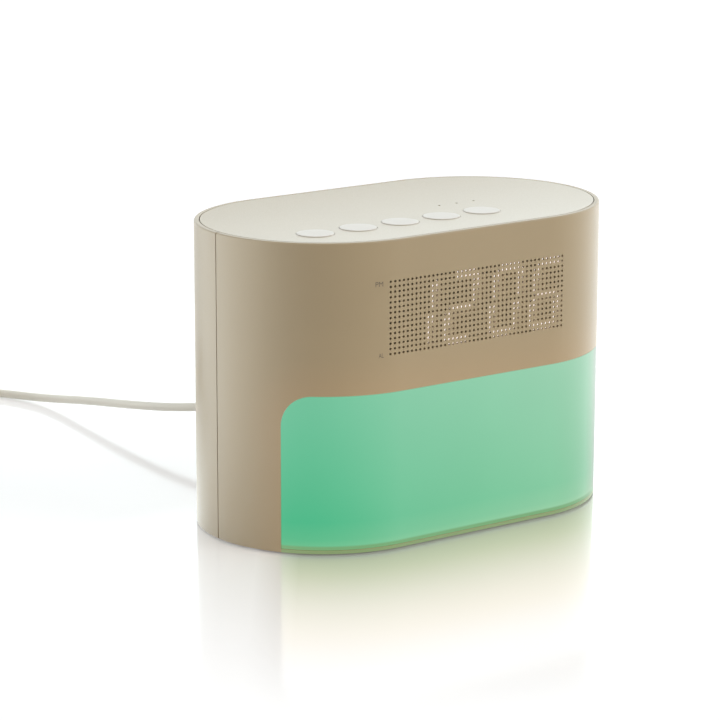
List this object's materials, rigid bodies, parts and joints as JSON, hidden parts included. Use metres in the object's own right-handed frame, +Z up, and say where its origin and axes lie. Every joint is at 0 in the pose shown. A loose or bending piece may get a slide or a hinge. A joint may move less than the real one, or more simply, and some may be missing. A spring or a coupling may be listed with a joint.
{
  "type": "sunrise alarm clock",
  "caption": "Free-standing sunrise alarm clock with a rounded casing, a perforated time display, a glowing wrap-around diffuser and push buttons on top.",
  "frame": {"origin": "on the table, under the middle of the casing", "axes": "+Z up; the display and the diffuser face -Y; +X along the long side, to the right as the front is seen"},
  "size_m": [0.2002, 0.3033, 0.111],
  "materials": {
    "casing": "fine satin, warm stone",
    "panel": "fine satin, warm stone",
    "button": "fine satin, off white",
    "diffuser": "milky, lit mint green from inside",
    "base": "fine texture",
    "rubber": "matte",
    "circuit_board": "solder mask",
    "black_plastic": "moulded",
    "segment_lit": "lit white",
    "segment_dark": "unlit, milky",
    "white_plastic": "reflective white",
    "led": "white package",
    "light_pipe": "clear moulded",
    "switch_plunger": "moulded",
    "steel": "zinc plated",
    "capacitor": "sleeved can",
    "cone_paper": "pressed pulp",
    "surround_rubber": "soft",
    "foam": "closed-cell foam",
    "copper": "enamelled wire",
    "ribbon": "flat cable",
    "wire": "insulated lead",
    "cord": "cream PVC jacket",
    "tie": "soft strap",
    "plug_grip": "cream moulding",
    "plug_shell": "plated sheet",
    "plug_tongue": "insulator"
  },
  "bodies": {
    "clock": {"base_plate": "base", "base_screws": "steel", "board_headers": "white_plastic", "capacitors": "capacitor", "coil_tie": "tie", "cord_coil": "cord", "cord_gland": "cord", "cord_tail": "cord", "display_board": "circuit_board", "display_drivers": "black_plastic", "display_housing": "black_plastic", "display_ribbon": "ribbon", "display_screws": "steel", "display_segments_dark": "segment_dark", "display_segments_lit": "segment_lit", "front_casing": "casing", "indicator_leds": "led", "indicator_pipes": "light_pipe", "key_board": "circuit_board", "key_board_screws": "steel", "key_ribbon": "ribbon", "key_switches": "black_plastic", "lamp_board": "circuit_board", "lamp_board_screws": "steel", "lamp_leds": "led", "lamp_wires": "wire", "light_diffuser": "diffuser", "light_tray": "white_plastic", "main_board": "circuit_board", "main_board_screws": "steel", "main_chips": "black_plastic", "panel_screws": "steel", "power_cord": "cord", "power_wires": "wire", "rear_casing": "casing", "rubber_feet": "rubber", "speaker_cone": "cone_paper", "speaker_frame": "steel", "speaker_gasket": "foam", "speaker_magnet": "steel", "speaker_screws": "steel", "speaker_surround": "surround_rubber", "speaker_wires": "wire", "top_panel": "panel", "usb_plug_grip": "plug_grip", "usb_plug_shell": "plug_shell", "usb_plug_tongue": "plug_tongue", "voice_coil": "copper"},
    "button_1_body": {"button_1": "button", "switch_plunger_1": "switch_plunger"},
    "button_2_body": {"button_2": "button", "switch_plunger_2": "switch_plunger"},
    "button_3_body": {"button_3": "button", "switch_plunger_3": "switch_plunger"},
    "button_4_body": {"button_4": "button", "switch_plunger_4": "switch_plunger"},
    "button_5_body": {"button_5": "button", "switch_plunger_5": "switch_plunger"}
  },
  "joints": [
    {"name": "button_1_press", "type": "slide", "parent": "clock", "child": "button_1_body", "axis": [0, 0, -1], "range_m": [0, 0.0006], "stiffness_N_per_m": 1000, "springref_m": -0.0005},
    {"name": "button_2_press", "type": "slide", "parent": "clock", "child": "button_2_body", "axis": [0, 0, -1], "range_m": [0, 0.0006], "stiffness_N_per_m": 1000, "springref_m": -0.0005},
    {"name": "button_3_press", "type": "slide", "parent": "clock", "child": "button_3_body", "axis": [0, 0, -1], "range_m": [0, 0.0006], "stiffness_N_per_m": 1000, "springref_m": -0.0005},
    {"name": "button_4_press", "type": "slide", "parent": "clock", "child": "button_4_body", "axis": [0, 0, -1], "range_m": [0, 0.0006], "stiffness_N_per_m": 1000, "springref_m": -0.0005},
    {"name": "button_5_press", "type": "slide", "parent": "clock", "child": "button_5_body", "axis": [0, 0, -1], "range_m": [0, 0.0006], "stiffness_N_per_m": 1000, "springref_m": -0.0005}
  ]
}
